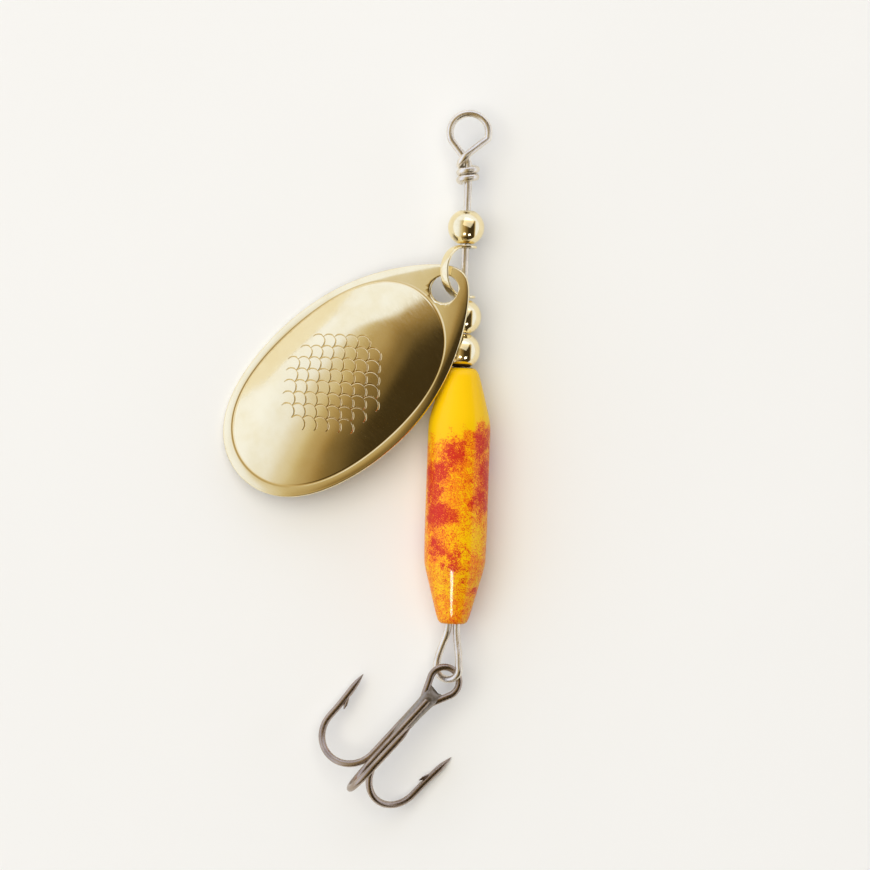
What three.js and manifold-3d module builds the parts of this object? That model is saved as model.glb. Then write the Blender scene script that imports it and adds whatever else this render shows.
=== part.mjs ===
// An inline spinner lying on its side, as it rests on a table.
//
// One stiff wire carries everything. From the line eye down it threads a bead, a clevis with the
// blade hung on it, two more beads and the painted body, and its lower loop holds the treble hook.
//
// Millimetres. The shaft lies along Y with the line eye towards +Y, and +Z is up from the table.
// Pieces are laid out from the centre of the body's upper face; the finished group is then moved so
// that its origin is at the middle of the spinner's footprint, on the table.

import * as THREE from 'three';
import { mergeVertices } from 'three/addons/utils/BufferGeometryUtils.js';
import Module from 'manifold-3d';

// ---------------------------------------------------------------- driving dimensions

const WIRE_RADIUS = 0.4;
const ROUND_SIDES = 10;

// Heights along the shaft (y), from the body's upper face.
const EYE_Y = 26.4;
const EYE_RADIUS = 2.17;
const WRAP_TOP_Y = 22.76;
const WRAP_RADIUS = 0.91;
const WRAP_PITCH = 0.86;
const WRAP_TURNS = 2.1;
const UPPER_BEAD_Y = 15.75;
const CLEVIS_Y = 10.75;
const MIDDLE_BEAD_Y = 5.7;
const LOWER_BEAD_Y = 1.9;

const BEAD_RADIUS = 2.05;
const BEAD_LENGTH = 3.7;
const BEAD_BORE_RADIUS = 0.55;
const BEAD_SIDES = 24;

const BODY_LENGTH = 28.8;
const BODY_RADIUS = 3.5;
const BODY_UPPER_BORE_RADIUS = 0.6;
const BODY_LOWER_BORE_RADIUS = 1.0;
const BODY_LOWER_BORE_DEPTH = 11;
const BODY_SIDES = 32;

// The lower loop, where the wire turns back into the body. The loop is twisted out of the table's
// plane: its height grows with x by LOOP_TWIST.
const STRAND_OFFSET = 0.45;
const LOOP_X = -0.39;
const LOOP_Y = -33.8;
const LOOP_RADIUS = 1.27;
const LOOP_TWIST = 0.85;
const LOOP_LEVEL_X = -0.3;
const TAG_LENGTH = 5.2;

// The clevis is a folded strip: two round ends on the shaft and a half-circle bow between them.
const CLEVIS_THICKNESS = 0.28;
const CLEVIS_WIDTH = 1.1;
const CLEVIS_BOW_RADIUS = 2.8;
const CLEVIS_ARM = 0.6;
const CLEVIS_END_RADIUS = 1.3;
const CLEVIS_HOLE_RADIUS = 0.6;
const CLEVIS_LEAN = 48;

// The blade's outline is a disc stretched along its length and shaped across by a cubic. Its sides
// are bowed down, and a dome is pressed up inside its rim.
const BLADE_HALF_LENGTH = 17.07;
const BLADE_MIDDLE = -14.28;
const BLADE_HALF_WIDTH = [9.45, -1.13, -0.72, -1.7];
const BLADE_BOW = 0.7;
const BLADE_THICKNESS = 0.5;
const RIM_RISE = 0.25;
const DOME_MIDDLE = -16.03;
const DOME_HALF_LENGTH = 13.92;
const DOME_HALF_WIDTH = 8.4;
const DOME_FULLNESS = 0.17;
const DOME_HEIGHT = 2.6;
// The dome's height, as a share of the whole, at shares of the way out to its foot.
const DOME_PROFILE = [[0, 1], [0.25, 0.95], [0.45, 0.84], [0.65, 0.62], [0.84, 0.36], [0.92, 0.17], [1, 0]];
const BLADE_HOLE_RADIUS = 1.55;
const BLADE_SIDES = 44;
const BLADE_HOLE_AT = [-2.13, 8.64, 1.77];
const BLADE_TURN = 42;
const BLADE_TILT = 13.4;
const BLADE_PITCH = -5.7;

// The treble hook: shanks bundled round its axis, each bending through a half circle to its point.
// The points splay out by HOOK_SPLAY, and the single hook is set HOOK_SINGLE_DROP further down.
const HOOK_WIRE_RADIUS = 0.385;
const HOOK_EYE_RADIUS = 1.66;
const HOOK_SHANK = 11.29;
const HOOK_BEND_RADIUS = 3.44;
const HOOK_POINT_Y = 5.35;
const HOOK_SINGLE_DROP = 1.33;
const HOOK_TAPER = 3.2;
const HOOK_SPLAY = 0.45;
const HOOK_BUNDLE_RADIUS = 0.49;
const HOOK_SINGLE_TOP_Y = 2.9;
const HOOK_DOUBLE_TOP_Y = 3.1;
const HOOK_POINT_SHARE = 0.08;
const HOOK_BARB_Y = 8.2;
const HOOK_BARB_LENGTH = 1.6;
const HOOK_BARB_RISE = 0.65;
const BARB_THICKNESS = 0.22;
const HOOK_EYE_AT = [-0.7, -35.35, 0];
const HOOK_YAW = -41.2;
const HOOK_ROLL = 4.1;
const HOOK_PITCH = -8.5;

const degrees = THREE.MathUtils.degToRad;
const lerp = THREE.MathUtils.lerp;

// ---------------------------------------------------------------- materials

const gold = new THREE.MeshStandardMaterial({ color: 0xe0bd5a, roughness: 0.18, metalness: 1 });
const steel = new THREE.MeshStandardMaterial({ color: 0xb9b6b0, roughness: 0.25, metalness: 1 });
const darkNickel = new THREE.MeshStandardMaterial({ color: 0x6e6657, roughness: 0.3, metalness: 1 });
const paint = new THREE.MeshStandardMaterial({ color: 0xf5b400, roughness: 0.15, metalness: 0 });

// ---------------------------------------------------------------- solids

const wasm = await Module();
wasm.setup();

function solidOf(geometry) {
  geometry.deleteAttribute('normal');
  geometry.deleteAttribute('uv');
  const merged = mergeVertices(geometry, 1e-5);
  const index = merged.getIndex();
  const corners = [];
  for (let i = 0; i < index.count; i += 3) {
    const triangle = [index.getX(i), index.getX(i + 1), index.getX(i + 2)];
    if (new Set(triangle).size === 3) {
      corners.push(...triangle);
    }
  }
  return new wasm.Manifold(new wasm.Mesh({
    numProp: 3,
    vertProperties: new Float32Array(merged.getAttribute('position').array),
    triVerts: new Uint32Array(corners),
  }));
}

function geometryOf(solid) {
  const mesh = solid.getMesh();
  const geometry = new THREE.BufferGeometry();
  geometry.setAttribute('position', new THREE.BufferAttribute(mesh.vertProperties, 3));
  geometry.setIndex(new THREE.BufferAttribute(mesh.triVerts, 1));
  return geometry;
}

function named(name, solid, material) {
  const mesh = new THREE.Mesh(geometryOf(solid), material);
  mesh.name = name;
  return mesh;
}

// A curve with one ring of the swept section at each of its points, so that straight stretches
// take few rings and bends take many.
class Route extends THREE.Curve {
  constructor(points) {
    super();
    this.line = new THREE.CatmullRomCurve3(points);
  }

  getPoint(t, target) {
    return this.line.getPoint(t, target);
  }

  getUtoTmapping(u) {
    return u;
  }
}

// The bar's radius is multiplied by shareAt(ring), which narrows it towards a point.
function roundBar(points, radius, shareAt = () => 1) {
  const section = new THREE.Shape().absarc(0, 0, radius, 0, 2 * Math.PI);
  const bar = new THREE.ExtrudeGeometry(section, {
    steps: points.length - 1,
    curveSegments: ROUND_SIDES / 2,
    extrudePath: new Route(points),
  });
  const position = bar.getAttribute('position');
  const corner = new THREE.Vector3();
  for (let i = 0; i < position.count; i += 1) {
    corner.fromBufferAttribute(position, i);
    const distances = points.map((point) => point.distanceTo(corner));
    const ring = distances.indexOf(Math.min(...distances));
    corner.lerpVectors(points[ring], corner, shareAt(ring));
    position.setXYZ(i, corner.x, corner.y, corner.z);
  }
  return solidOf(bar);
}

// Points at even angles along a circle or helix; place(angle) gives the point.
function sweepAngles(from, to, count, place) {
  return Array.from({ length: count + 1 }, (_, i) => place(degrees(lerp(from, to, i / count))));
}

function vectors(rows) {
  return rows.map((row) => new THREE.Vector3(...row));
}

function smooth(rows, count) {
  return new THREE.CatmullRomCurve3(vectors(rows)).getPoints(count);
}

function turned(profile, sides) {
  return solidOf(new THREE.LatheGeometry(profile.map(([r, y]) => new THREE.Vector2(r, y)), sides));
}

// ---------------------------------------------------------------- wire shaft

// The wire runs from the cut end of its wraps, up round the line eye, down the shaft and through
// the body, round the lower loop and back into the body.
function wireShaft() {
  const wraps = sweepAngles(180 + 360 * WRAP_TURNS, 180, 30, (angle) => new THREE.Vector3(
    WRAP_RADIUS * Math.cos(angle),
    WRAP_TOP_Y - WRAP_PITCH * (angle / (2 * Math.PI) - 0.5),
    WRAP_RADIUS * Math.sin(angle),
  ));
  const frontLeg = smooth([
    [-0.83, 23.06, 0.55],
    [-0.42, 23.58, 0.95],
    [0.15, 24.12, 0.9],
    [0.8, 24.7, 0.6],
    [1.5, 25.3, 0.3],
  ], 8);
  const eye = sweepAngles(-15, 205, 18, (angle) => new THREE.Vector3(
    EYE_RADIUS * Math.cos(angle),
    EYE_Y + EYE_RADIUS * Math.sin(angle),
    0,
  ));
  const backLeg = smooth([
    [-1.5, 24.9, 0],
    [-0.75, 23.95, 0],
    [-0.15, 23.3, 0],
    [0, 22.7, 0],
  ], 6);
  const through = vectors([
    [0, 12, 0],
    [0, 0, 0],
    [0, -18.5, 0],
    [0.1, -19.8, 0],
    [STRAND_OFFSET - 0.1, -22, 0],
    [STRAND_OFFSET, -23.5, 0],
    [STRAND_OFFSET, -BODY_LENGTH, 0],
  ]);
  const loopLevel = (x, y) => {
    const twisted = THREE.MathUtils.smoothstep(-y, 29.5, 32.8);
    return LOOP_TWIST * (x - LOOP_LEVEL_X) * twisted;
  };
  const atLevel = (point) => new THREE.Vector3(point.x, point.y, loopLevel(point.x, point.y));
  const rightSide = smooth([
    [0.47, -29.8, 0],
    [0.62, -31.2, 0],
    [0.8, -32.5, 0],
  ], 6);
  const loop = sweepAngles(15, -195, 18, (angle) => new THREE.Vector3(
    LOOP_X + LOOP_RADIUS * Math.cos(angle),
    LOOP_Y + LOOP_RADIUS * Math.sin(angle),
    0,
  ));
  const leftSide = smooth([
    [-1.5, -32.6, 0],
    [-1.08, -31.2, 0],
    [-0.62, -29.9, 0],
  ], 6);
  const tag = vectors([
    [-STRAND_OFFSET, -BODY_LENGTH, 0],
    [-STRAND_OFFSET, TAG_LENGTH - BODY_LENGTH, 0],
  ]);
  const lower = [...rightSide, ...loop, ...leftSide].map(atLevel);
  return roundBar([...wraps, ...frontLeg, ...eye, ...backLeg, ...through, ...lower, ...tag], WIRE_RADIUS);
}

// ---------------------------------------------------------------- beads and body

function bead() {
  const flat = BEAD_LENGTH / 2;
  const flatRadius = Math.sqrt(BEAD_RADIUS ** 2 - flat ** 2);
  const end = THREE.MathUtils.radToDeg(Math.atan2(flat, flatRadius));
  const side = sweepAngles(-end, end, 10, (angle) => [
    BEAD_RADIUS * Math.cos(angle),
    BEAD_RADIUS * Math.sin(angle),
  ]);
  return turned([
    [BEAD_BORE_RADIUS, flat],
    [BEAD_BORE_RADIUS, -flat],
    ...side,
    [BEAD_BORE_RADIUS, flat],
  ], BEAD_SIDES);
}

// The body is turned: a small flat face above, a short cone, a long barrel and a longer lower cone.
function body() {
  const bottom = -BODY_LENGTH;
  const step = bottom + BODY_LOWER_BORE_DEPTH;
  return turned([
    [BODY_UPPER_BORE_RADIUS, 0],
    [BODY_UPPER_BORE_RADIUS, step],
    [BODY_LOWER_BORE_RADIUS, step],
    [BODY_LOWER_BORE_RADIUS, bottom],
    [1.25, bottom],
    [1.62, bottom + 0.25],
    [1.85, bottom + 0.8],
    [2.7, bottom + 4],
    [3.3, bottom + 6.2],
    [3.44, bottom + 7],
    [BODY_RADIUS, bottom + 10],
    [BODY_RADIUS, -7],
    [3.44, -6],
    [3.2, -5],
    [2.1, -0.9],
    [1.8, -0.3],
    [1.3, 0],
    [BODY_UPPER_BORE_RADIUS, 0],
  ], BODY_SIDES);
}

// ---------------------------------------------------------------- clevis

// The strip's side view is a band round the bow, drawn with x away from the shaft.
function clevis() {
  const half = CLEVIS_THICKNESS / 2;
  const band = new THREE.Shape();
  band.moveTo(0, -CLEVIS_BOW_RADIUS - half);
  band.lineTo(CLEVIS_ARM, -CLEVIS_BOW_RADIUS - half);
  band.absarc(CLEVIS_ARM, 0, CLEVIS_BOW_RADIUS + half, -Math.PI / 2, Math.PI / 2);
  band.lineTo(0, CLEVIS_BOW_RADIUS + half);
  band.lineTo(0, CLEVIS_BOW_RADIUS - half);
  band.lineTo(CLEVIS_ARM, CLEVIS_BOW_RADIUS - half);
  band.absarc(CLEVIS_ARM, 0, CLEVIS_BOW_RADIUS - half, Math.PI / 2, -Math.PI / 2, true);
  band.lineTo(0, -CLEVIS_BOW_RADIUS + half);
  const strip = new THREE.ExtrudeGeometry(band, {
    depth: CLEVIS_WIDTH,
    bevelEnabled: false,
    curveSegments: 12,
  });
  strip.translate(0, 0, -CLEVIS_WIDTH / 2);
  let solid = solidOf(strip);
  for (const side of [-1, 1]) {
    const end = new THREE.CylinderGeometry(CLEVIS_END_RADIUS, CLEVIS_END_RADIUS, CLEVIS_THICKNESS, 24);
    solid = solid.add(solidOf(end.translate(0, side * CLEVIS_BOW_RADIUS, 0)));
  }
  const hole = new THREE.CylinderGeometry(CLEVIS_HOLE_RADIUS, CLEVIS_HOLE_RADIUS, BEAD_LENGTH * 2, 20);
  return solid.subtract(solidOf(hole));
}

// ---------------------------------------------------------------- blade

// The blade is drawn with x along it, towards the hole's end, and the hole at the origin. Ring is
// counted from the dome's top out to its foot, and one more is the blade's edge.
function bladePoint(ring, angle, lift) {
  const along = Math.cos(angle);
  const across = Math.sin(angle);
  const onEdge = ring === DOME_PROFILE.length;
  const [share, height] = onEdge ? [1, 0] : DOME_PROFILE[ring];
  const edgeHalfWidth = BLADE_HALF_WIDTH.reduce((sum, factor, power) => sum + factor * along ** power, 0);
  const domeHalfWidth = DOME_HALF_WIDTH * (1 + DOME_FULLNESS * along ** 2);
  const bow = BLADE_BOW * (share * across) ** 2;
  if (onEdge) {
    const x = BLADE_MIDDLE + BLADE_HALF_LENGTH * along;
    return new THREE.Vector3(x, edgeHalfWidth * across, lift - bow);
  }
  return new THREE.Vector3(
    DOME_MIDDLE + DOME_HALF_LENGTH * share * along,
    domeHalfWidth * share * across,
    DOME_HEIGHT * height + RIM_RISE - bow + lift,
  );
}

function blade() {
  const half = BLADE_THICKNESS / 2;
  const rings = [...DOME_PROFILE.keys(), DOME_PROFILE.length];
  const under = rings.map((ring) => new THREE.Vector2(ring, -half));
  const over = rings.map((ring) => new THREE.Vector2(ring, half)).reverse();
  const disc = new THREE.LatheGeometry([...under, ...over], BLADE_SIDES);
  const position = disc.getAttribute('position');
  for (let i = 0; i < position.count; i += 1) {
    const ring = Math.round(Math.hypot(position.getX(i), position.getZ(i)));
    const angle = Math.atan2(-position.getZ(i), position.getX(i));
    const point = bladePoint(ring, angle, position.getY(i));
    position.setXYZ(i, point.x, point.y, point.z);
  }
  const hole = new THREE.CylinderGeometry(BLADE_HOLE_RADIUS, BLADE_HOLE_RADIUS, BLADE_THICKNESS * 8, 28);
  return solidOf(disc).subtract(solidOf(hole.rotateX(Math.PI / 2)));
}

// ---------------------------------------------------------------- treble hook

const HOOK_DIRECTIONS = [208, 332, 93].map(degrees);
const HOOK_LEG = HOOK_BUNDLE_RADIUS + 2 * HOOK_BEND_RADIUS;

// A hook from the top of its shank to its point, in the plane that the direction gives. Its bend
// and point are moved down by the drop.
function hookRoute(topY, direction, drop) {
  const bend = sweepAngles(180, 360, 16, (angle) => [
    HOOK_BUNDLE_RADIUS + HOOK_BEND_RADIUS * (1 + Math.cos(angle)),
    HOOK_BEND_RADIUS * Math.sin(angle) - HOOK_SHANK - drop,
  ]);
  const pointY = -HOOK_POINT_Y - drop;
  const leg = [[HOOK_LEG + HOOK_SPLAY * 0.3, pointY - HOOK_TAPER], [HOOK_LEG + HOOK_SPLAY, pointY]];
  return [[HOOK_BUNDLE_RADIUS, -topY], ...bend, ...leg].map(([out, y]) => new THREE.Vector3(
    out * Math.cos(direction),
    y,
    out * Math.sin(direction),
  ));
}

// The barb is a sliver cut up from the side of the point that faces the shank.
function barb(direction, drop) {
  const root = HOOK_LEG - HOOK_WIRE_RADIUS * 0.2;
  const sliver = new THREE.Shape();
  sliver.moveTo(root, -HOOK_BARB_Y);
  sliver.lineTo(root - HOOK_BARB_RISE, -HOOK_BARB_Y - HOOK_BARB_LENGTH);
  sliver.lineTo(root, -HOOK_BARB_Y - HOOK_BARB_LENGTH * 0.6);
  const plate = new THREE.ExtrudeGeometry(sliver, { depth: BARB_THICKNESS, bevelEnabled: false });
  return solidOf(plate.translate(0, -drop, -BARB_THICKNESS / 2).rotateY(-direction));
}

// One wire makes the eye and two of the hooks, with a point at each end.
function doubleHook() {
  const [left, right] = HOOK_DIRECTIONS;
  const eye = sweepAngles(210, -30, 20, (angle) => new THREE.Vector3(
    HOOK_EYE_RADIUS * Math.cos(angle),
    HOOK_EYE_RADIUS * Math.sin(angle),
    0,
  ));
  const points = [
    ...hookRoute(HOOK_DOUBLE_TOP_Y, left, 0).reverse(),
    ...eye,
    ...hookRoute(HOOK_DOUBLE_TOP_Y, right, 0),
  ];
  const isPoint = (ring) => ring === 0 || ring === points.length - 1;
  const wire = roundBar(points, HOOK_WIRE_RADIUS, (ring) => (isPoint(ring) ? HOOK_POINT_SHARE : 1));
  return wire.add(barb(left, 0)).add(barb(right, 0));
}

function singleHook() {
  const direction = HOOK_DIRECTIONS[2];
  const points = hookRoute(HOOK_SINGLE_TOP_Y, direction, HOOK_SINGLE_DROP);
  const isPoint = (ring) => ring === points.length - 1;
  const wire = roundBar(points, HOOK_WIRE_RADIUS, (ring) => (isPoint(ring) ? HOOK_POINT_SHARE : 1));
  return wire.add(barb(direction, HOOK_SINGLE_DROP));
}

// ---------------------------------------------------------------- assembly

function strung(name, solid, material, y) {
  const mesh = named(name, solid, material);
  mesh.position.y = y;
  return mesh;
}

const spinner = new THREE.Group();
spinner.add(named('wire_shaft', wireShaft(), steel));
spinner.add(strung('upper_bead', bead(), gold, UPPER_BEAD_Y));
spinner.add(strung('middle_bead', bead(), gold, MIDDLE_BEAD_Y));
spinner.add(strung('lower_bead', bead(), gold, LOWER_BEAD_Y));
spinner.add(named('body', body(), paint));

const clevisMesh = strung('clevis', clevis(), gold, CLEVIS_Y);
clevisMesh.rotation.y = degrees(180 + CLEVIS_LEAN);
spinner.add(clevisMesh);

const bladeMesh = named('blade', blade(), gold);
bladeMesh.position.set(...BLADE_HOLE_AT);
bladeMesh.rotation.set(degrees(BLADE_PITCH), degrees(-BLADE_TILT), degrees(BLADE_TURN), 'XYZ');
spinner.add(bladeMesh);

const treble = new THREE.Group();
treble.position.set(...HOOK_EYE_AT);
treble.rotation.set(degrees(HOOK_PITCH), degrees(HOOK_ROLL), degrees(HOOK_YAW), 'ZXY');
treble.add(named('double_hook', doubleHook(), darkNickel));
treble.add(named('single_hook', singleHook(), darkNickel));
spinner.add(treble);

const extent = new THREE.Box3().setFromObject(spinner, true);
const middle = extent.getCenter(new THREE.Vector3());
spinner.position.set(-middle.x, -middle.y, -extent.min.z);

export default spinner;
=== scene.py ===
# An inline spinner on a pale table, seen from straight above.
#
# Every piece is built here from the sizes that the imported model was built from, only finer: more
# sides, rounded edges, a stamped blade and the braze on the treble hook. Pieces are laid out in
# millimetres from the middle of the body's upper face, with the shaft along y and z up.

import math

import bmesh
import bpy
from mathutils import Matrix, Vector


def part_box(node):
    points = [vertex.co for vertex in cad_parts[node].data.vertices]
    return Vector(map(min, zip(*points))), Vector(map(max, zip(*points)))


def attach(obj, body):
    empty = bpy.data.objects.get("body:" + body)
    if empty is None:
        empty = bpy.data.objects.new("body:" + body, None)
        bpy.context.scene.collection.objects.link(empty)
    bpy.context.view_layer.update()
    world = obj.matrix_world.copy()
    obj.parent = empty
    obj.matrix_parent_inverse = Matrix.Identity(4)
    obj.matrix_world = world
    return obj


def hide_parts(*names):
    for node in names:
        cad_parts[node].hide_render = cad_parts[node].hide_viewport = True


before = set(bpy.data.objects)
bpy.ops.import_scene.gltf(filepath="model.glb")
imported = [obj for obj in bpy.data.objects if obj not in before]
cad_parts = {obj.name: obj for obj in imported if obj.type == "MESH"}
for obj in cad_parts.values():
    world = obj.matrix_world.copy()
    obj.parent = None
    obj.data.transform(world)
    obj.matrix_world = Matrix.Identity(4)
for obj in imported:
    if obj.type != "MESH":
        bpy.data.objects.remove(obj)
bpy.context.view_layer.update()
scene = bpy.context.scene

MM = 0.001
TURN = 2 * math.pi

# ---------------------------------------------------------------- sizes, in millimetres and degrees

WIRE_RADIUS = 0.4
EYE_Y = 26.4
EYE_RADIUS = 2.17
WRAP_TOP_Y = 22.76
WRAP_RADIUS = 0.91
WRAP_PITCH = 0.86
WRAP_TURNS = 2.1
STRAND_OFFSET = 0.45
LOOP_X = -0.39
LOOP_Y = -33.8
LOOP_RADIUS = 1.27
LOOP_TWIST = 0.85
LOOP_LEVEL_X = -0.3
TAG_LENGTH = 5.2

BEAD_HEIGHTS = {"upper_bead": 15.75, "middle_bead": 5.7, "lower_bead": 1.9}
BEAD_RADIUS = 2.05
BEAD_LENGTH = 3.7
BEAD_BORE_RADIUS = 0.55
BEAD_BORE_ROUNDING = 0.12

BODY_LENGTH = 28.8
BODY_RADIUS = 3.5
BODY_UPPER_BORE_RADIUS = 0.6
BODY_LOWER_BORE_RADIUS = 1.0
BODY_LOWER_BORE_DEPTH = 11

CLEVIS_Y = 10.75
CLEVIS_THICKNESS = 0.28
CLEVIS_WIDTH = 1.1
CLEVIS_BOW_RADIUS = 2.8
CLEVIS_ARM = 0.6
CLEVIS_END_RADIUS = 1.3
CLEVIS_HOLE_RADIUS = 0.6
CLEVIS_LEAN = 48

BLADE_HALF_LENGTH = 17.07
BLADE_MIDDLE = -14.28
BLADE_HALF_WIDTH = [9.45, -1.13, -0.72, -1.7]
BLADE_BOW = 0.7
BLADE_THICKNESS = 0.5
BLADE_EDGE_ROUNDING = 0.2
RIM_RISE = 0.25
DOME_MIDDLE = -16.03
DOME_HALF_LENGTH = 13.92
DOME_HALF_WIDTH = 8.4
DOME_FULLNESS = 0.17
DOME_HEIGHT = 2.6
# How steeply the dome falls at shares of the way out to its foot.
DOME_SLOPES = [(0, 0), (0.45, 0.3), (0.8, 0.54), (0.985, 0.58), (1, 0)]
BLADE_HOLE_RADIUS = 1.55
BLADE_HOLE_AT = (-2.13, 8.64, 1.77)
BLADE_TURN = 42
BLADE_TILT = 13.4
BLADE_PITCH = -5.7

HOOK_WIRE_RADIUS = 0.385
HOOK_EYE_RADIUS = 1.66
HOOK_SHANK = 11.29
HOOK_BEND_RADIUS = 3.44
HOOK_POINT_Y = 5.35
HOOK_SINGLE_DROP = 1.33
HOOK_TAPER = 3.2
HOOK_SPLAY = 0.45
HOOK_BUNDLE_RADIUS = 0.49
HOOK_SINGLE_TOP_Y = 2.9
HOOK_DOUBLE_TOP_Y = 3.1
HOOK_BARB_Y = 8.2
HOOK_BARB_LENGTH = 1.6
HOOK_BARB_RISE = 0.65
HOOK_BARB_THICKNESS = 0.3
HOOK_EYE_AT = (-0.7, -35.35, 0)
HOOK_YAW = -41.2
HOOK_ROLL = 4.1
HOOK_PITCH = -8.5
HOOK_DIRECTIONS = (208, 332, 93)
HOOK_LEG = HOOK_BUNDLE_RADIUS + 2 * HOOK_BEND_RADIUS

# Where the pieces are laid out from, in the frame's metres.
low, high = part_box("body")
LAYOUT = Matrix.Translation(((low.x + high.x) / 2, high.y, (low.z + high.z) / 2))


def placed(x, y, z, rotation=Matrix.Identity(4)):
    """The matrix of a piece whose own origin is at a point of the layout, in millimetres."""
    return LAYOUT @ Matrix.Translation(Vector((x, y, z)) * MM) @ rotation


# ---------------------------------------------------------------- shader graphs


class Graph:
    """Adds nodes to a material's or the world's tree, and links them as it goes."""

    def __init__(self, tree):
        self.tree = tree
        tree.nodes.clear()

    def feed(self, socket, value):
        if isinstance(value, bpy.types.NodeSocket):
            self.tree.links.new(value, socket)
        else:
            socket.default_value = value

    def node(self, kind, inputs=None, **settings):
        made = self.tree.nodes.new("ShaderNode" + kind)
        for name, value in settings.items():
            setattr(made, name, value)
        for socket, value in (inputs or {}).items():
            self.feed(made.inputs[socket], value)
        return made

    def math(self, operation, *values):
        made = self.node("Math", dict(enumerate(values)), operation=operation)
        return made.outputs[0]

    def smooth(self, value, low, high, to_low=0.0, to_high=1.0):
        """Goes from to_low to to_high as value goes from low to high, with soft ends."""
        made = self.node("MapRange", {"Value": value}, interpolation_type="SMOOTHSTEP")
        made.inputs["From Min"].default_value = low
        made.inputs["From Max"].default_value = high
        made.inputs["To Min"].default_value = to_low
        made.inputs["To Max"].default_value = to_high
        return made.outputs["Result"]

    def mix(self, share, first, second):
        made = self.node("Mix", data_type="RGBA")
        self.feed(made.inputs[0], share)
        for socket, value in ((made.inputs[6], first), (made.inputs[7], second)):
            self.feed(socket, value if isinstance(value, bpy.types.NodeSocket) else (*value, 1))
        return made.outputs[2]

    def millimetres(self, stretch=(1, 1, 1)):
        """The piece's own coordinates in millimetres, stretched if asked."""
        own = self.node("TexCoord").outputs["Object"]
        scale = tuple(s / MM for s in stretch)
        return self.node("VectorMath", {0: own, 1: scale}, operation="MULTIPLY").outputs[0]

    def noise(self, vector, grain, detail=2.0, roughness=0.5):
        """Cloudy noise from 0 to 1, with features about grain millimetres across."""
        made = self.node("TexNoise", {"Vector": vector, "Scale": 1 / grain, "Detail": detail})
        made.inputs["Roughness"].default_value = roughness
        return made.outputs[0]

    def bump(self, height, distance, strength=1.0):
        inputs = {"Height": height, "Distance": distance * MM, "Strength": strength}
        return self.node("Bump", inputs).outputs["Normal"]

    def surface(self, inputs):
        shader = self.node("BsdfPrincipled", inputs)
        self.node("OutputMaterial", {"Surface": shader.outputs[0]})


def material(name):
    made = bpy.data.materials.new(name)
    made.use_nodes = True
    return made, Graph(made.node_tree)


# ---------------------------------------------------------------- materials

GOLD = (0.93, 0.81, 0.51)
DULL_GOLD = (0.89, 0.75, 0.43)
DEEP_GOLD = (0.66, 0.42, 0.1)
# Painted shade: a darker gold along the crease round the dome's foot.
PAINTED_CREASE_SHADE = (0.78, 0.55, 0.2)


def polished_gold():
    """Plated brass: bright, with a faint haze and hairline scratches."""
    made, g = material("polished_gold")
    place = g.millimetres()
    haze = g.noise(place, 0.9, 3)
    hairs = g.noise(g.millimetres((1, 9, 9)), 0.5, 2)
    g.surface({
        "Base Color": g.mix(g.smooth(haze, 0.35, 0.75), GOLD, DULL_GOLD),
        "Metallic": 1.0,
        "Roughness": g.smooth(haze, 0.3, 0.7, 0.07, 0.13),
        "Normal": g.bump(hairs, 0.004, 0.5),
    })
    return made


SCALE_WIDTH = 1.9
SCALE_FIELD = (6.6, 5.2)
SCALE_LINE = 0.1
FOOT_LINE = 0.16


def stamped_scales(g):
    """How deep the stamping is, 0 to 1: rows of plain scale arcs in an oval field on the dome."""
    half = SCALE_WIDTH / 2
    parts = g.node("SeparateXYZ", {0: g.millimetres()})
    along = g.math("DIVIDE", g.math("SUBTRACT", parts.outputs[0], DOME_MIDDLE - half / 2), half)
    row = g.math("FLOOR", along)
    stagger = g.math("MULTIPLY", g.math("PINGPONG", row, 1.0), 0.5)
    across = g.math("ADD", g.math("DIVIDE", parts.outputs[1], SCALE_WIDTH), stagger)
    column = g.math("FLOOR", across)
    u = g.math("SUBTRACT", along, row)
    v = g.math("SUBTRACT", g.math("MULTIPLY", g.math("SUBTRACT", across, column), 2.0), 1.0)
    radius = g.math("SQRT", g.math("ADD", g.math("POWER", u, 2.0), g.math("POWER", v, 2.0)))
    off_line = g.math("ABSOLUTE", g.math("SUBTRACT", radius, 1.0))
    line = g.smooth(off_line, SCALE_LINE / half, SCALE_LINE / half * 0.25)
    cell_x = g.math("MULTIPLY", row, half / SCALE_FIELD[0])
    cell_y = g.math("ADD", g.math("SUBTRACT", column, stagger), 0.5)
    cell_y = g.math("MULTIPLY", cell_y, SCALE_WIDTH / SCALE_FIELD[1])
    reach = g.math("ADD", g.math("POWER", cell_x, 2.0), g.math("POWER", cell_y, 2.0))
    return g.math("MULTIPLY", line, g.math("LESS_THAN", reach, 1.0))


def foot_crease(g):
    """How deep the crease round the dome's foot is, 0 to 1. It also places the painted shade along the
    crease.
    """
    parts = g.node("SeparateXYZ", {0: g.millimetres()})
    along = g.math("DIVIDE", g.math("SUBTRACT", parts.outputs[0], DOME_MIDDLE), DOME_HALF_LENGTH)
    across = g.math("DIVIDE", parts.outputs[1], DOME_HALF_WIDTH)
    angle = g.math("ARCTAN2", across, along)
    full = g.math("MULTIPLY_ADD", g.math("POWER", g.math("COSINE", angle), 2.0), DOME_FULLNESS, 1.0)
    across = g.math("DIVIDE", across, full)
    reach = g.math("SQRT", g.math("ADD", g.math("POWER", along, 2.0), g.math("POWER", across, 2.0)))
    off_foot = g.math("ABSOLUTE", g.math("SUBTRACT", reach, 1.0))
    return g.smooth(off_foot, FOOT_LINE / DOME_HALF_WIDTH, 0.0)


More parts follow.
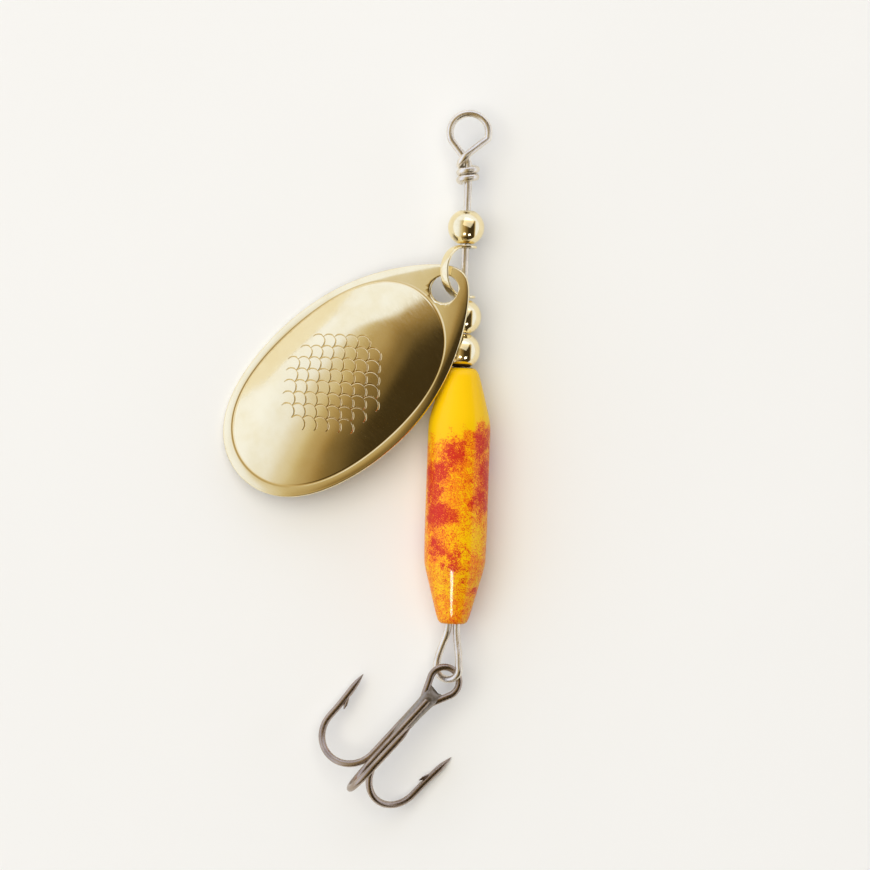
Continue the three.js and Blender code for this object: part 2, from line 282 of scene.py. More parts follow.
def stamped_gold():
    """The blade's plating: mirror-like, drawn across by fine streaks, with a stamped field and painted
    shade along the foot crease.
    """
    made, g = material("stamped_gold")
    place = g.millimetres()
    haze = g.noise(place, 2.5, 4)
    streaks = g.noise(g.millimetres((7, 1, 1)), 0.9, 4, 0.6)
    stamping = stamped_scales(g)
    crease = foot_crease(g)
    colour = g.mix(g.smooth(haze, 0.3, 0.8), GOLD, DULL_GOLD)
    colour = g.mix(g.math("MULTIPLY", stamping, 0.85), colour, DEEP_GOLD)
    # Painted shade: the foot crease is coloured darker gold, for the shade that falls in it.
    colour = g.mix(g.math("MULTIPLY", crease, 0.5), colour, PAINTED_CREASE_SHADE)
    fine = g.bump(streaks, 0.006, 0.35)
    deep = g.node("Bump", {
        "Height": g.math("MULTIPLY_ADD", crease, 0.9, stamping),
        "Distance": 0.06 * MM,
        "Strength": 0.8,
        "Normal": fine,
    }, invert=True)
    g.surface({
        "Base Color": colour,
        "Metallic": 1.0,
        "Roughness": g.smooth(streaks, 0.25, 0.75, 0.1, 0.2),
        "Normal": deep.outputs["Normal"],
    })
    return made


def drawn_steel():
    """Stainless wire, drawn along its length."""
    made, g = material("drawn_steel")
    drawn = g.noise(g.millimetres((8, 0.6, 8)), 0.6, 3)
    smudge = g.noise(g.millimetres(), 1.6, 2)
    g.surface({
        "Base Color": g.mix(g.smooth(smudge, 0.3, 0.7), (0.88, 0.81, 0.68), (0.72, 0.65, 0.54)),
        "Metallic": 1.0,
        "Roughness": g.smooth(drawn, 0.3, 0.7, 0.22, 0.34),
        "Normal": g.bump(drawn, 0.006, 0.5),
    })
    return made


def dark_nickel():
    """Black-nickel plate over bronzed steel, a little worn in random patches."""
    made, g = material("dark_nickel")
    grain = g.noise(g.millimetres(), 0.25, 4, 0.6)
    worn = g.noise(g.millimetres(), 1.8, 3)
    g.surface({
        "Base Color": g.mix(g.smooth(worn, 0.35, 0.7), (0.37, 0.295, 0.235), (0.47, 0.38, 0.3)),
        "Metallic": 1.0,
        "Roughness": g.smooth(grain, 0.3, 0.7, 0.2, 0.34),
        "Normal": g.bump(grain, 0.006, 0.6),
    })
    return made


def solder():
    """Dull braze, with small lumps."""
    made, g = material("solder")
    lumps = g.noise(g.millimetres(), 0.5, 3, 0.6)
    g.surface({
        "Base Color": g.mix(g.smooth(lumps, 0.3, 0.7), (0.30, 0.26, 0.21), (0.40, 0.35, 0.28)),
        "Metallic": 1.0,
        "Roughness": g.smooth(lumps, 0.2, 0.8, 0.3, 0.5),
        "Normal": g.bump(lumps, 0.05, 0.8),
    })
    return made


YELLOW = (0.89, 0.54, 0.0)
ORANGE = (0.84, 0.17, 0.004)
RED = (0.56, 0.012, 0.008)
# Painted shade for the body's upper end face, in the gap under the lower bead.
PAINTED_END_SHADE = (0.05, 0.025, 0.008)
# Sponge dabs on the paint: the angle round the body from straight up towards +x, the height along
# it, and the dab's radius.
DABS = [
    (-4, -9.6, 1.5),
    (-28, -11.2, 1.4),
    (-55, -12.4, 1.9),
    (-48, -14.6, 1.4),
    (-38, -16.8, 1.7),
    (-16, -16.7, 1.2),
    (-36, -20.2, 1.4),
    (-4, -21.5, 1.3),
    (52, -8.4, 1.6),
    (60, -12.0, 2.1),
    (52, -14.9, 1.7),
    (14, -24.5, 0.9),
    (60, -25.0, 1.2),
    (140, -10.5, 2.0),
    (185, -15.5, 2.2),
    (215, -9.5, 1.6),
    (240, -19.5, 1.9),
    (165, -20.8, 1.5),
]
# Patches that are left mostly yellow, given the same way.
BARE_PATCHES = [
    (0, -24.0, 2.6),
    (36, -18.6, 2.4),
    (18, -20.6, 1.5),
    (120, -22.5, 2.0),
    (200, -12.5, 2.0),
]
# The sponging starts at the first height and is full from the second, higher on the +x side.
SPONGE_TOP = (-5.9, -8.0)
SPONGE_TOP_SLANT = -0.3
# How far the dabs' outlines wander, in millimetres.
DAB_WANDER = 4.0
# Painted shade: the upper end face is coloured dark, for the shadow in the gap between the lower bead and
# the body. The paint starts between these heights, just below its edge.
PAINTED_END_SHADE_EDGE = (-0.1, -0.04)


def nearness(g, place, patches):
    """1 at the middle of the nearest patch on the body, 0 away from them all."""
    nearest = None
    for angle, height, radius in patches:
        turn = math.radians(angle)
        centre = (BODY_RADIUS * math.sin(turn), height, BODY_RADIUS * math.cos(turn))
        away = g.node("VectorMath", {0: place, 1: centre}, operation="DISTANCE").outputs["Value"]
        near = g.smooth(away, radius * 1.4, radius * 0.3)
        nearest = near if nearest is None else g.math("MAXIMUM", nearest, near)
    return nearest


def sponged_paint():
    """Yellow paint, sponged with orange and red below the shoulder, under a clear coat, with painted
    shade on the upper end face.
    """
    made, g = material("sponged_paint")
    place = g.millimetres()
    cloud = g.node("TexNoise", {"Vector": place, "Scale": 0.75, "Detail": 3.0}).outputs["Color"]
    shift = g.node("VectorMath", {0: cloud, 1: (0.5, 0.5, 0.5)}, operation="SUBTRACT").outputs[0]
    shift = g.node("VectorMath", {0: shift, 3: DAB_WANDER}, operation="SCALE").outputs[0]
    wander = g.node("VectorMath", {0: place, 1: shift}, operation="ADD").outputs[0]
    dabs = nearness(g, wander, DABS)
    bare = nearness(g, wander, BARE_PATCHES)
    parts = g.node("SeparateXYZ", {0: wander})
    level = g.math("MULTIPLY_ADD", parts.outputs[0], SPONGE_TOP_SLANT, parts.outputs[1])
    sponged = g.smooth(level, *SPONGE_TOP)
    blotch = g.math("SUBTRACT", g.noise(place, 1.1, 3, 0.6), 0.5)
    grain = g.noise(place, 0.12, 2, 0.6)
    coarse = g.noise(place, 0.3, 2, 0.5)
    speckle = g.math("ADD", g.math("MULTIPLY", grain, 0.75), g.math("MULTIPLY", coarse, 0.25))
    cover = g.math("MULTIPLY_ADD", blotch, 0.3, speckle)
    cover = g.math("MULTIPLY_ADD", dabs, 0.14, cover)
    cover = g.math("MULTIPLY_ADD", bare, -0.07, cover)
    cover = g.math("MULTIPLY_ADD", sponged, 0.3, cover)
    orange = g.smooth(cover, 0.72, 0.8)
    reddened = g.math("MULTIPLY_ADD", blotch, 0.25, speckle)
    reddened = g.math("MULTIPLY_ADD", dabs, 0.2, reddened)
    reddened = g.math("MULTIPLY_ADD", sponged, 0.3, reddened)
    red = g.smooth(reddened, 0.85, 0.98)
    colour = g.mix(g.math("MULTIPLY", orange, 0.9), YELLOW, ORANGE)
    colour = g.mix(g.math("MULTIPLY", red, 0.95), colour, RED)
    height = g.node("SeparateXYZ", {0: place}).outputs[1]
    # Painted shade: the upper end face turns dark, for the shadow under the lower bead.
    colour = g.mix(g.smooth(height, *PAINTED_END_SHADE_EDGE), colour, PAINTED_END_SHADE)
    g.surface({
        "Base Color": colour,
        "Roughness": g.smooth(coarse, 0.3, 0.7, 0.4, 0.55),
        "Specular IOR Level": 0.1,
        "Normal": g.bump(coarse, 0.02, 0.3),
        "Coat Weight": 0.28,
        "Coat Roughness": 0.05,
        "Coat IOR": 1.5,
    })
    return made


def table_top():
    """Pale matt board, very slightly mottled."""
    made, g = material("table_top")
    mottle = g.noise(g.millimetres(), 30, 3)
    g.surface({
        "Base Color": g.mix(mottle, (0.83, 0.845, 0.83), (0.85, 0.865, 0.85)),
        "Roughness": 0.85,
        "Specular IOR Level": 0.2,
    })
    return made


# ---------------------------------------------------------------- meshes


def loft(rings, looped=False):
    """A closed mesh through rings of equal length. The ends are capped, or joined if looped."""
    size = len(rings[0])
    mesh = bmesh.new()
    rows = [[mesh.verts.new(Vector(point) * MM) for point in ring] for ring in rings]
    follow = rows[1:] + (rows[:1] if looped else [])
    for row, after in zip(rows, follow):
        for i in range(size):
            j = (i + 1) % size
            mesh.faces.new((row[i], row[j], after[j], after[i]))
    if not looped:
        mesh.faces.new(reversed(rows[0]))
        mesh.faces.new(rows[-1])
    bmesh.ops.recalc_face_normals(mesh, faces=mesh.faces)
    return mesh


def join(meshes):
    """One bmesh that holds all of them."""
    whole = meshes[0]
    for other in meshes[1:]:
        copied = {vert: whole.verts.new(vert.co) for vert in other.verts}
        for face in other.faces:
            whole.faces.new([copied[vert] for vert in face.verts])
        other.free()
    return whole


def object_of(name, mesh, matrix=Matrix.Identity(4)):
    data = bpy.data.meshes.new(name)
    mesh.to_mesh(data)
    mesh.free()
    made = bpy.data.objects.new(name, data)
    made.matrix_world = matrix
    scene.collection.objects.link(made)
    return made


def cut(piece, cutter):
    """Takes the cutter's shape out of the piece. Both are in the same place."""
    modifier = piece.modifiers.new("cut", "BOOLEAN")
    modifier.operation = "DIFFERENCE"
    modifier.solver = "EXACT"
    modifier.object = cutter
    cutter.matrix_world = piece.matrix_world
    bpy.context.view_layer.update()
    whole = piece.evaluated_get(bpy.context.evaluated_depsgraph_get())
    data = bpy.data.meshes.new_from_object(whole)
    piece.modifiers.clear()
    piece.data = data
    bpy.data.objects.remove(cutter)


def finish_piece(piece, look, body, slot, *nodes, crease=35):
    piece.data.materials.clear()
    piece.data.materials.append(look)
    piece.data.shade_smooth()
    piece.data.set_sharp_from_angle(angle=math.radians(crease))
    if nodes:
        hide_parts(*nodes)
    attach(piece, body)


def circle(place, count):
    """Points at even angles round a whole turn; place(angle) gives each one."""
    return [place(TURN * i / count) for i in range(count)]


def arc(from_degrees, to_degrees, count, place):
    step = (to_degrees - from_degrees) / count
    return [place(math.radians(from_degrees + step * i)) for i in range(count + 1)]


def turned(profile, sides):
    """Rings round the y axis for each (radius, height) of a profile."""
    return [
        circle(lambda a: (radius * math.cos(a), height, radius * math.sin(a)), sides)
        for radius, height in profile
    ]


def spline(points, steps):
    """A smooth curve through the points, with steps pieces between each two of them."""
    points = [Vector(point) for point in points]
    ends = [2 * points[0] - points[1], *points, 2 * points[-1] - points[-2]]
    curve = [points[0]]
    for p0, p1, p2, p3 in zip(ends, ends[1:], ends[2:], ends[3:]):
        t1 = (p1 - p0).length ** 0.5
        t2 = t1 + (p2 - p1).length ** 0.5
        t3 = t2 + (p3 - p2).length ** 0.5
        for i in range(1, steps + 1):
            t = t1 + (t2 - t1) * i / steps
            a1 = p0.lerp(p1, t / t1)
            a2 = p1.lerp(p2, (t - t1) / (t2 - t1))
            a3 = p2.lerp(p3, (t - t2) / (t3 - t2))
            b1 = a1.lerp(a2, t / t2)
            b2 = a2.lerp(a3, (t - t1) / (t3 - t1))
            curve.append(b1.lerp(b2, (t - t1) / (t2 - t1)))
    return curve


def round_bar(points, radius, sides, share):
    """Rings of a round section carried along the points. share(i) narrows it at point i."""
    points = [Vector(point) for point in points]
    across = None
    rings = []
    for i, point in enumerate(points):
        tangent = (points[min(i + 1, len(points) - 1)] - points[max(i - 1, 0)]).normalized()
        across = (across or tangent.orthogonal()).normalized()
        across = (across - tangent * across.dot(tangent)).normalized()
        other = tangent.cross(across)
        reach = radius * share(i)
        rings.append(circle(
            lambda a: point + (across * math.cos(a) + other * math.sin(a)) * reach, sides
        ))
    return rings


def rounded_ends(points, radius):
    """The points with a few more just beyond each end, and how wide a bar is at each of them."""
    steps = [(0.05, 0.62), (0.28, 0.84), (0.62, 0.97)]
    first = (points[0] - points[1]).normalized() * radius * 0.35
    last = (points[-1] - points[-2]).normalized() * radius * 0.35
    before = [points[0] + first * (1 - inset) for inset, _ in steps]
    after = [points[-1] + last * (1 - inset) for inset, _ in reversed(steps)]
    shares = [width for _, width in steps] + [1.0] * len(points) + [width for _, width in reversed(steps)]
    return before + list(points) + after, shares


# ---------------------------------------------------------------- wire shaft


def smoothstep(value, low, high):
    t = min(max((value - low) / (high - low), 0), 1)
    return t * t * (3 - 2 * t)


def wire_route():
    """From the cut end of the wraps, round the line eye, down the shaft and round the loop."""
    wraps = arc(180 + 360 * WRAP_TURNS, 180, 48, lambda a: (
        WRAP_RADIUS * math.cos(a),
        WRAP_TOP_Y - WRAP_PITCH * (a / TURN - 0.5),
        WRAP_RADIUS * math.sin(a),
    ))
    front_leg = [
        (-0.83, 23.06, 0.55),
        (-0.42, 23.58, 0.95),
        (0.15, 24.12, 0.9),
        (0.8, 24.7, 0.6),
        (1.5, 25.3, 0.3),
    ]
    eye = arc(-15, 205, 30, lambda a: (
        EYE_RADIUS * math.cos(a),
        EYE_Y + EYE_RADIUS * math.sin(a),
        0,
    ))
    back_leg = [(-1.5, 24.9, 0), (-0.75, 23.95, 0), (-0.15, 23.3, 0), (0, 22.7, 0)]
    through = [
        (0, 12, 0),
        (0, 0, 0),
        (0, -18.5, 0),
        (0.1, -19.8, 0),
        (STRAND_OFFSET - 0.1, -22, 0),
        (STRAND_OFFSET, -23.5, 0),
        (STRAND_OFFSET, -BODY_LENGTH, 0),
    ]
    right_side = [(0.47, -29.8, 0), (0.62, -31.2, 0), (0.8, -32.5, 0)]
    loop = arc(15, -195, 28, lambda a: (
        LOOP_X + LOOP_RADIUS * math.cos(a),
        LOOP_Y + LOOP_RADIUS * math.sin(a),
        0,
    ))
    left_side = [(-1.5, -32.6, 0), (-1.08, -31.2, 0), (-0.62, -29.9, 0)]
    tag = [(-STRAND_OFFSET, -BODY_LENGTH, 0), (-STRAND_OFFSET, TAG_LENGTH - BODY_LENGTH, 0)]
    lower = [
        (x, y, LOOP_TWIST * (x - LOOP_LEVEL_X) * smoothstep(-y, 29.5, 32.8))
        for x, y, _ in right_side + loop + left_side
    ]
    return wraps + front_leg + eye + back_leg + through + lower + tag


def make_wire_shaft(look):
    points, shares = rounded_ends(spline(wire_route(), 3), WIRE_RADIUS)
    rings = round_bar(points, WIRE_RADIUS, 24, lambda i: shares[i])
    piece = object_of("shaft_wire", loft(rings), placed(0, 0, 0))
    finish_piece(piece, look, "wire", "steel_wire", "wire_shaft")
    return piece


# ---------------------------------------------------------------- beads and body


def make_beads(look):
    flat = BEAD_LENGTH / 2
    end = math.degrees(math.asin(flat / BEAD_RADIUS))
    side = arc(-end, end, 40, lambda a: (BEAD_RADIUS * math.cos(a), BEAD_RADIUS * math.sin(a)))
    lip = BEAD_BORE_ROUNDING
    mouth = arc(90, 180, 5, lambda a: (
        BEAD_BORE_RADIUS + lip + lip * math.cos(a),
        flat - lip + lip * math.sin(a),
    ))
    bore = mouth + [(radius, -height) for radius, height in reversed(mouth)]
    beads = []
    for name, height in BEAD_HEIGHTS.items():
        piece = object_of(name + "_ball", loft(turned(side + bore, 64), True), placed(0, height, 0))
        finish_piece(piece, look, name, "gold_plate", name)
        beads.append(piece)
    return beads


def softened(profile, share=0.22, rounds=3):
    """Cuts the corners of an open profile, again and again, so that they turn round."""
    for _ in range(rounds):
        cut_back = [profile[0]]
        for (r0, y0), (r1, y1) in zip(profile, profile[1:]):
            length = math.hypot(r1 - r0, y1 - y0)
            t = min(share, 0.35 / length) if length else share
            cut_back.append((r0 + (r1 - r0) * t, y0 + (y1 - y0) * t))
            cut_back.append((r1 + (r0 - r1) * t, y1 + (y0 - y1) * t))
        cut_back.append(profile[-1])
        profile = cut_back
    return profile


def make_body(look):
    bottom = -BODY_LENGTH
    step = bottom + BODY_LOWER_BORE_DEPTH
    outside = softened([
        (1.05, bottom + 0.15),
        (1.25, bottom),
        (1.62, bottom + 0.25),
        (1.85, bottom + 0.8),
        (2.7, bottom + 4),
        (3.3, bottom + 6.2),
        (3.44, bottom + 7),
        (BODY_RADIUS, bottom + 10),
        (BODY_RADIUS, -7),
        (3.44, -6),
        (3.2, -5),
        (2.1, -0.9),
        (1.8, -0.3),
        (1.3, 0),
        (0.7, 0),
    ])
    bore = [
        (BODY_UPPER_BORE_RADIUS, -0.1),
        (BODY_UPPER_BORE_RADIUS, step),
        (BODY_LOWER_BORE_RADIUS, step),
        (BODY_LOWER_BORE_RADIUS, bottom + 0.3),
    ]
    piece = object_of("painted_body", loft(turned(outside + bore, 128), True), placed(0, 0, 0))
    finish_piece(piece, look, "body", "speckled_paint", "body")
    return piece


# ---------------------------------------------------------------- clevis


def strip_section(width, thickness, rounding=0.12):
    """A flat strip's section as (across, out) points, with round edges."""
    half_width = max(width / 2, rounding)
    half = thickness / 2
    points = []
    for corner, (sx, sy) in enumerate([(1, 1), (-1, 1), (-1, -1), (1, -1)]):
        centre = (sx * (half_width - rounding), sy * (half - rounding))
        points += arc(90 * corner, 90 * corner + 90, 4, lambda a: (
            centre[0] + rounding * math.cos(a),
            centre[1] + rounding * math.sin(a),
        ))
    return points


def make_clevis(look):
    """A strip folded round a bow, with a round end on the shaft at each side."""
    reach = CLEVIS_END_RADIUS
    tab = [reach * math.sin(math.radians(angle)) for angle in range(-88, 61, 8)]
    tab_width = [2 * math.sqrt(reach**2 - t**2) for t in tab]
    lower = [(t, -CLEVIS_BOW_RADIUS, 0, -1, width) for t, width in zip(tab, tab_width)]
    bow = arc(-90, 90, 40, lambda a: (
        CLEVIS_ARM + CLEVIS_BOW_RADIUS * math.cos(a),
        CLEVIS_BOW_RADIUS * math.sin(a),
        math.cos(a),
        math.sin(a),
        CLEVIS_WIDTH,
    ))
    upper = [(t, CLEVIS_BOW_RADIUS, 0, 1, width) for t, _, _, _, width in reversed(lower)]
    inside = [row for row in bow if row[0] > tab[-1] + 0.05]
    rings = []
    for x, y, out_x, out_y, width in lower + inside + upper:
        section = strip_section(max(width, CLEVIS_WIDTH if x > 0 else 0.3), CLEVIS_THICKNESS)
        rings.append([(x + out * out_x, y + out * out_y, across) for across, out in section])
    turn = Matrix.Rotation(math.radians(180 + CLEVIS_LEAN), 4, "Y")
    piece = object_of("folded_clevis", loft(rings), placed(0, CLEVIS_Y, 0, turn))
    half = CLEVIS_BOW_RADIUS + CLEVIS_THICKNESS
    cut(piece, object_of("drill", loft(turned([
        (CLEVIS_HOLE_RADIUS, -half), (CLEVIS_HOLE_RADIUS, half)
    ], 40))))
    finish_piece(piece, look, "clevis", "gold_plate", "clevis")


# ---------------------------------------------------------------- blade


def dome_heights(count):
    """The dome's height at even shares of the way out, from its slopes."""

    def slope(share):
        for (s0, a), (s1, b) in zip(DOME_SLOPES, DOME_SLOPES[1:]):
            if share <= s1:
                return a + (b - a) * smoothstep(share, s0, s1)
        return 0

    fallen = [0]
    for i in range(count):
        fallen.append(fallen[-1] + slope((i + 0.5) / count))
    return [DOME_HEIGHT * (1 - fall / fallen[-1]) for fall in fallen]


def outline(angle):
    along, across = math.cos(angle), math.sin(angle)
    half_width = sum(factor * along**power for power, factor in enumerate(BLADE_HALF_WIDTH))
    return BLADE_MIDDLE + BLADE_HALF_LENGTH * along, half_width * across


def blade_rings(sides):
    """Rings over the dome, out across the rim, round the edge and back beneath."""
    dome_steps, rim_steps = 90, 10
    dome = [
        (i / dome_steps, 0.0, height + RIM_RISE)
        for i, height in enumerate(dome_heights(dome_steps))
    ][1:]
    inset = BLADE_EDGE_ROUNDING
    rim = [(1.0, i / rim_steps, RIM_RISE * (1 - (i / rim_steps) ** 2)) for i in range(1, rim_steps + 1)]
    sheet = dome + rim
    half = BLADE_THICKNESS / 2

    def ring(inner, outer, height, spread):
        points = []
        for i in range(sides):
            angle = TURN * i / sides
            dome_x = DOME_MIDDLE + DOME_HALF_LENGTH * inner * math.cos(angle)
            fullness = 1 + DOME_FULLNESS * math.cos(angle) ** 2
            dome_y = DOME_HALF_WIDTH * fullness * inner * math.sin(angle)
            edge_x, edge_y = outline(angle)
            width = math.hypot(edge_x - dome_x, edge_y - dome_y)
            share = outer * (1 - inset / width) + spread / width if outer else 0
            points.append((
                dome_x + (edge_x - dome_x) * share,
                dome_y + (edge_y - dome_y) * share,
                height - BLADE_BOW * (inner * math.sin(angle)) ** 2,
            ))
        return points

    over = [ring(inner, outer, height + half, 0) for inner, outer, height in sheet]
    edge = [
        ring(1.0, 1.0, half * math.cos(a), inset * math.sin(a))
        for a in (math.pi * i / 10 for i in range(1, 10))
    ]
    under = [ring(inner, outer, height - half, 0) for inner, outer, height in reversed(sheet)]
    return over + edge + under


def make_blade(look):
    turn = (
        Matrix.Rotation(math.radians(BLADE_PITCH), 4, "X")
        @ Matrix.Rotation(math.radians(-BLADE_TILT), 4, "Y")
        @ Matrix.Rotation(math.radians(BLADE_TURN), 4, "Z")
    )
    piece = object_of("spinner_blade", loft(blade_rings(256)), placed(*BLADE_HOLE_AT, turn))
    half = BLADE_THICKNESS / 2
    middle = RIM_RISE * 0.6
    drill = [
        (BLADE_HOLE_RADIUS + 1.2, middle - half - 1),
        (BLADE_HOLE_RADIUS + 0.14, middle - half),
        (BLADE_HOLE_RADIUS + 0.03, middle - half + 0.09),
        (BLADE_HOLE_RADIUS, middle - half + 0.2),
        (BLADE_HOLE_RADIUS, middle + half - 0.2),
        (BLADE_HOLE_RADIUS + 0.03, middle + half - 0.09),
        (BLADE_HOLE_RADIUS + 0.14, middle + half),
        (BLADE_HOLE_RADIUS + 1.2, middle + half + 1),
    ]
    cutter = loft([[(x, z, y) for x, y, z in ring] for ring in turned(drill, 96)])
    cut(piece, object_of("drill", cutter))
    finish_piece(piece, look, "blade", "gold_plate", "blade", crease=50)


# ---------------------------------------------------------------- treble hook


def hook_route(top_y, direction, drop=0):
    """A hook from the top of its shank to its point, and how wide the wire is at each point.

    Its bend and point are moved down by the drop.
    """
    bend = arc(180, 360, 36, lambda a: (
        HOOK_BUNDLE_RADIUS + HOOK_BEND_RADIUS * (1 + math.cos(a)),
        HOOK_BEND_RADIUS * math.sin(a) - HOOK_SHANK - drop,
    ))
    shank = [(HOOK_BUNDLE_RADIUS, -top_y - t * (HOOK_SHANK - top_y)) for t in (0, 0.3, 0.6, 0.9)]
    leg_top = -HOOK_POINT_Y - HOOK_TAPER - drop
    leg = [
        (HOOK_LEG + HOOK_SPLAY * (0.3 + 0.7 * t), leg_top + HOOK_TAPER * t)
        for t in (0, 0.2, 0.4, 0.6, 0.8, 0.93, 1)
    ]
    leg.insert(0, (HOOK_LEG + HOOK_SPLAY * 0.08, (leg_top - HOOK_SHANK - drop) / 2))
    flat = shank + bend + leg
    width = [1.0] * (len(shank) + len(bend)) + [1.0, 1.0, 1.02, 0.98, 0.84, 0.5, 0.22, 0.03]
    turn = math.radians(direction)
    return [Vector((out * math.cos(turn), y, out * math.sin(turn))) for out, y in flat], width


def barb(direction, drop=0):
    """A sliver cut up from the side of the point that faces the shank."""
    root = HOOK_LEG - HOOK_WIRE_RADIUS * 0.15
    tip = root - HOOK_BARB_RISE
    low_y = -HOOK_BARB_Y - HOOK_BARB_LENGTH
    stations = [(0.0, 0.02, 0.35), (0.35, 0.16, 0.8), (0.7, 0.2, 0.7), (1.0, 0.03, 0.12)]
    turn = Matrix.Rotation(-math.radians(direction), 4, "Y")
    rings = []
    for share, depth, width in stations:
        centre = (root + (tip - root) * share, -HOOK_BARB_Y + (low_y + HOOK_BARB_Y) * share)
        half = HOOK_BARB_THICKNESS / 2 * width
        rings.append(circle(
            lambda a: turn @ Vector((
                centre[0] + depth * math.cos(a),
                centre[1] - drop - depth * 0.4 * math.cos(a),
                half * math.sin(a),
            )), 12
        ))
    return loft(rings)


# The braze between the eye and the shanks: height, half width, half depth, and how much its edges
# climb the eye's wire above its middle.
BRAZE_STATIONS = [
    (-1.62, 1.0, 0.1, 0.42),
    (-1.82, 1.04, 0.24, 0.4),
    (-2.2, 1.02, 0.4, 0.3),
    (-2.8, 0.94, 0.55, 0.12),
    (-3.5, 0.86, 0.68, 0.0),
    (-4.6, 0.8, 0.76, 0.0),
    (-6.2, 0.74, 0.74, 0.0),
    (-7.6, 0.6, 0.6, 0.0),
    (-9.0, 0.3, 0.3, 0.0),
    (-9.6, 0.05, 0.05, 0.0),
]


def braze_web():
    """Rings round the braze: a web under the eye that runs on down between the shanks."""
    rings = []
    for y, half_width, half_depth, climb in BRAZE_STATIONS:
        rings.append(circle(
            lambda a: Vector((
                half_width * math.cos(a),
                y + climb * math.cos(a) ** 2,
                half_depth * math.sin(a),
            )), 28
        ))
    return rings


def make_treble_hook(look, braze):
    turn = (
        Matrix.Rotation(math.radians(HOOK_YAW), 4, "Z")
        @ Matrix.Rotation(math.radians(HOOK_PITCH), 4, "X")
        @ Matrix.Rotation(math.radians(HOOK_ROLL), 4, "Y")
    )
    at = placed(*HOOK_EYE_AT, turn)
    left, right, up = HOOK_DIRECTIONS
    left_route, left_width = hook_route(HOOK_DOUBLE_TOP_Y, left)
    right_route, right_width = hook_route(HOOK_DOUBLE_TOP_Y, right)
    eye = arc(210, -30, 36, lambda a: Vector((
        HOOK_EYE_RADIUS * math.cos(a),
        HOOK_EYE_RADIUS * math.sin(a),
        0,
    )))
    joined = spline([left_route[0], *eye, right_route[0]], 3)[1:-1]
    points = left_route[::-1] + joined + right_route
    width = left_width[::-1] + [1.0] * len(joined) + right_width
    rings = round_bar(points, HOOK_WIRE_RADIUS, 24, lambda i: width[i])
    double = join([loft(rings), barb(left), barb(right)])
    finish_piece(
        object_of("hook_pair", double, at), look, "treble_hook", "dark_nickel", "double_hook"
    )
    route, width = hook_route(HOOK_SINGLE_TOP_Y, up, HOOK_SINGLE_DROP)
    route = [route[0] + Vector((0, 0.05, 0)), *route]
    width = [0.86, *width]
    rings = round_bar(route, HOOK_WIRE_RADIUS, 24, lambda i: width[i])
    single = join([loft(rings), barb(up, HOOK_SINGLE_DROP)])
    finish_piece(
        object_of("hook_single", single, at), look, "treble_hook", "dark_nickel", "single_hook"
    )
    finish_piece(object_of("braze_web", loft(braze_web()), at), braze, "treble_hook", "dark_nickel")


# ---------------------------------------------------------------- table, light and camera

FLOOR_HALF = 2000
CAMERA_OVER = (-2.70, -7.67)
CAMERA_HEIGHT = 330
VIEW_WIDTH = 97.75
CAMERA_TURN = 1.95


def make_floor():
    corner = [(-1, -1), (1, -1), (1, 1), (-1, 1)]
    mesh = bmesh.new()
    mesh.faces.new([mesh.verts.new((x * FLOOR_HALF * MM, y * FLOOR_HALF * MM, 0)) for x, y in corner])
    floor = object_of("table", mesh)
    floor.data.materials.append(table_top())


# Light in the room, by where a mirror ball seen from above shows it: right and up run from -1 to 1
# across the ball. The walls darken from left to right: places across the ball and strengths.
WALLS = [(-0.6, 1.02), (-0.4, 0.93), (-0.28, 0.74), (-0.12, 0.5), (0.04, 0.2), (0.15, 0.05)]
# Low on the ball, the same darkening comes further left.
WALLS_LEAN = (-0.45, -0.65, 0.0, 0.3)
FAR_WALL_EDGE = (0.42, 0.54)
FAR_WALL_LIGHT = 0.96
SOFTBOX_EDGE = 0.36
SOFTBOX_BLUR = 0.02
SOFTBOX_LIGHT = 1.0
BELOW_SOFTBOX = (0.1, SOFTBOX_EDGE, 0.0, 0.42)
NEAR_WALL_EDGE = (-0.74, -0.82)
NEAR_WALL_LIGHT = 0.8
DIM_TINT = (1.0, 0.69, 0.27)
MIDDLE_TINT = (1.0, 0.88, 0.58)
BRIGHT_TINT = (1.0, 1.09, 1.4)


def make_studio():
    """Pale walls that darken to the right, with a bright softbox along the top."""
    world = bpy.data.worlds.new("studio")
    world.use_nodes = True
    scene.world = world
    g = Graph(world.node_tree)
    direction = g.node("TexCoord").outputs["Generated"]
    parts = g.node("SeparateXYZ", {0: direction})
    spread = g.math("SQRT", g.math("MULTIPLY", g.math("ADD", parts.outputs[2], 1.0001), 2.0))
    right = g.math("DIVIDE", parts.outputs[0], spread)
    up = g.math("DIVIDE", parts.outputs[1], spread)

    def covered(light, strength, share):
        return g.math("ADD", light, g.math("MULTIPLY", share, g.math("SUBTRACT", strength, light)))

    leaning = g.math("ADD", right, g.smooth(up, *WALLS_LEAN))
    light = WALLS[0][1]
    for (start, before), (end, after) in zip(WALLS, WALLS[1:]):
        level = g.smooth(leaning, start, end, before, after)
        light = g.math("ADD", light, g.math("SUBTRACT", level, before))
    light = g.math("MAXIMUM", light, g.smooth(up, *BELOW_SOFTBOX))
    light = covered(light, FAR_WALL_LIGHT, g.smooth(right, *FAR_WALL_EDGE))
    softbox = g.smooth(up, SOFTBOX_EDGE - SOFTBOX_BLUR, SOFTBOX_EDGE + SOFTBOX_BLUR)
    light = covered(light, SOFTBOX_LIGHT, softbox)
    light = covered(light, NEAR_WALL_LIGHT, g.smooth(up, *NEAR_WALL_EDGE))
    tint = g.mix(g.smooth(light, 0.3, 0.72), DIM_TINT, MIDDLE_TINT)
    tint = g.mix(g.smooth(light, 0.6, 1.0), tint, BRIGHT_TINT)
    background = g.node("Background", {"Color": tint, "Strength": light})
    g.node("OutputWorld", {"Surface": background.outputs[0]})


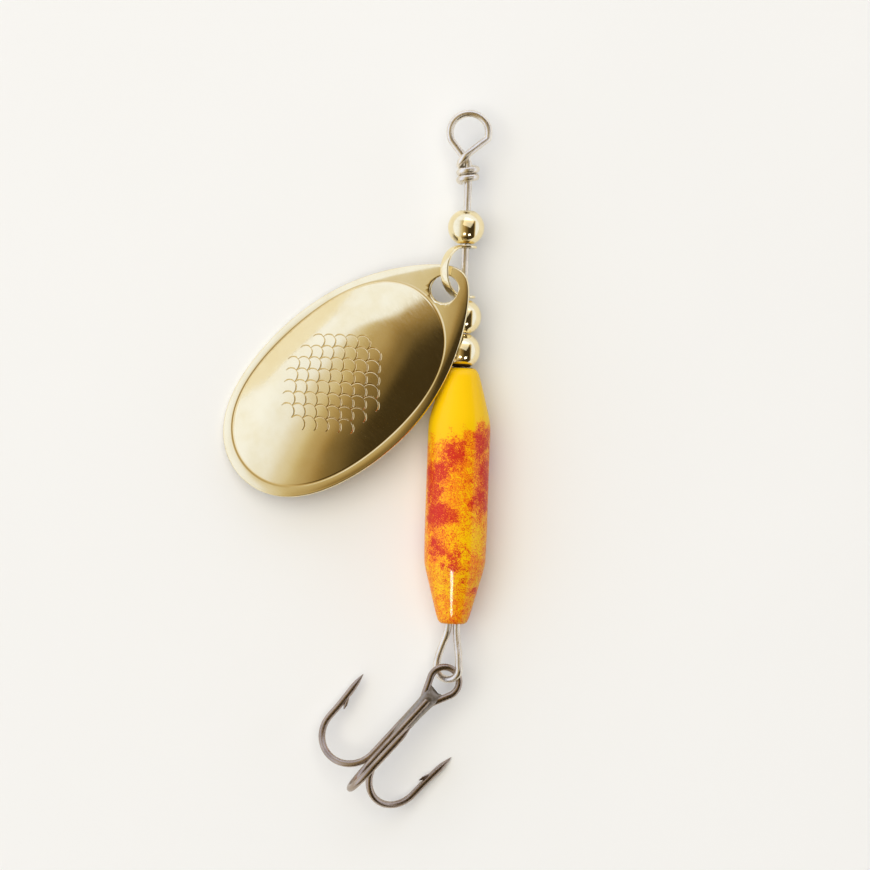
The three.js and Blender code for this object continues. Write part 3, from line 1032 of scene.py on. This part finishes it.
def make_lamp(name, kind_of_shape, size, energy, location, aim):
    data = bpy.data.lights.new(name, "AREA")
    data.shape = kind_of_shape
    data.size = size * MM
    data.energy = energy
    lamp = bpy.data.objects.new(name, data)
    lamp.location = placed(*location).translation
    toward = placed(*aim).translation - lamp.location
    lamp.rotation_euler = toward.to_track_quat("-Z", "Y").to_euler()
    lamp.visible_camera = False
    scene.collection.objects.link(lamp)
    return lamp


def make_lamps(wire, body, beads):
    """A broad light overhead that no metal mirrors, and lamps and cards for the highlights.

    The lamps and cards are seen only in the pieces they are made for, and light nothing else. Each
    has its width in millimetres, its watts, its place in the layout and its pieces.
    """
    fill = make_lamp("fill", "DISK", 1200, 7.5, (-150, 150, 900), (0, 0, 0))
    fill.data.color = (1.0, 0.965, 0.9)
    fill.visible_glossy = False
    for name, size, energy, location, pieces in (
        ("body_lamp", 22, 0.07, (-22, -92, 104), [body]),
        ("bead_lamp", 30, 0.012, (-22, -92, 104), beads),
        ("bead_lamp_right", 30, 0.012, (52, -96, 84), beads),
        ("bead_card", 150, 0.05, (30, 85, 119), beads),
        ("wire_card", 115, 0.029, (81, 0, 126), [wire]),
    ):
        seen_by = bpy.data.collections.new(name)
        for piece in pieces:
            seen_by.objects.link(piece)
        lamp = make_lamp(name, "SQUARE", size, energy, location, (0, 5, 0))
        lamp.visible_diffuse = False
        lamp.light_linking.receiver_collection = seen_by


def make_camera():
    data = bpy.data.cameras.new("camera")
    data.sensor_width = 36
    data.lens = data.sensor_width * CAMERA_HEIGHT / VIEW_WIDTH
    camera = bpy.data.objects.new("camera", data)
    turn = Matrix.Rotation(math.radians(CAMERA_TURN), 4, "Z")
    camera.matrix_world = placed(*CAMERA_OVER, CAMERA_HEIGHT, turn)
    data.clip_start = 0.01
    data.clip_end = 20
    scene.collection.objects.link(camera)
    scene.camera = camera


make_camera()
make_floor()
make_studio()
gold = polished_gold()
wire = make_wire_shaft(drawn_steel())
beads = make_beads(gold)
body = make_body(sponged_paint())
make_lamps(wire, body, beads)
make_clevis(gold)
make_blade(stamped_gold())
make_treble_hook(dark_nickel(), solder())
scene.view_settings.view_transform = "Standard"
